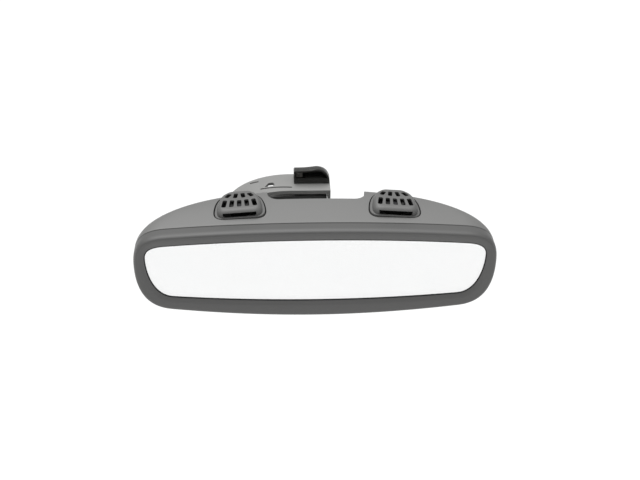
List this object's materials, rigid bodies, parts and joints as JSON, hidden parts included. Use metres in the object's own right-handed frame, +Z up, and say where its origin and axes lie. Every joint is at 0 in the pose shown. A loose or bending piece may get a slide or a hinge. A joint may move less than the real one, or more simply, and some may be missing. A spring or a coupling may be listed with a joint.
{
  "type": "interior rearview mirror",
  "caption": "Wide interior rearview mirror with a dimming glass, two domed microphone grilles on top, a ball joint and a curved hollow arm that ends in a slide-on foot.",
  "frame": {"origin": "point on the raised pad in the foot's pocket where the bracket rests", "axes": "+Z up out of the pad, the glass faces -Y towards the driver, +X to the driver's right along the length of the mirror"},
  "size_m": [0.251, 0.0987, 0.0782],
  "materials": {
    "grey_bezel": "fine moulded grain",
    "grey_housing": "fine moulded grain",
    "grey_grille": "fine moulded grain",
    "grey_arm": "fine moulded grain",
    "black_nylon": "satin",
    "black_cast": "satin black paint",
    "white_nylon": "satin",
    "rubber": "matte",
    "foam": "matte closed cells",
    "board_green": "solder mask",
    "clear_glass": "polished",
    "mirror_silver": "polished",
    "steel": "zinc plated",
    "spring_steel": "bright",
    "dark_lens": "polished dark tint"
  },
  "bodies": {
    "arm_and_foot": {"arm_shell": "grey_arm", "arm_core": "black_cast", "stud_nut": "steel", "arm_wires": "rubber", "arm_connector": "white_nylon", "arm_screw": "steel", "foot_shoe": "black_nylon", "foot_spring": "spring_steel", "foot_screw_1": "steel", "foot_screw_2": "steel", "ball_stud": "steel"},
    "ball_seat": {"ball_seat": "white_nylon"},
    "spring_shell": {"spring_shell": "spring_steel"},
    "head": {"front_bezel": "grey_bezel", "front_glass": "clear_glass", "cell_seal": "white_nylon", "mirror_glass": "mirror_silver", "busbar_upper": "spring_steel", "busbar_lower": "spring_steel", "foam_pad": "foam", "carrier_plate": "black_nylon", "circuit_board": "board_green", "board_connector": "white_nylon", "head_wires": "rubber", "glare_sensor": "dark_lens", "ambient_sensor": "dark_lens", "ambient_light_pipe": "clear_glass", "ambient_lens": "dark_lens", "rear_housing": "grey_housing", "mic_grille_left": "grey_grille", "mic_capsule_left": "steel", "mic_boot_left": "rubber", "mic_grille_right": "grey_grille", "mic_capsule_right": "steel", "mic_boot_right": "rubber", "carrier_screw_1": "steel", "carrier_screw_2": "steel", "carrier_screw_3": "steel", "carrier_screw_4": "steel", "retaining_ring": "black_nylon", "ball_socket": "black_nylon", "socket_screw_1": "steel", "socket_screw_2": "steel", "socket_screw_3": "steel"}
  },
  "joints": [
    {"name": "head_turn", "type": "hinge", "parent": "arm_and_foot", "child": "ball_seat", "pos_m": [-0.002, -0.0515, -0.0387], "axis": [0, 0, 1], "range_deg": [-14, 14]},
    {"name": "head_nod", "type": "hinge", "parent": "ball_seat", "child": "spring_shell", "pos_m": [-0.002, -0.0515, -0.0387], "axis": [1, 0, 0], "range_deg": [-10, 12]},
    {"name": "head_level", "type": "hinge", "parent": "spring_shell", "child": "head", "pos_m": [-0.002, -0.0515, -0.0387], "axis": [0, 1, 0], "range_deg": [-8, 8]}
  ]
}
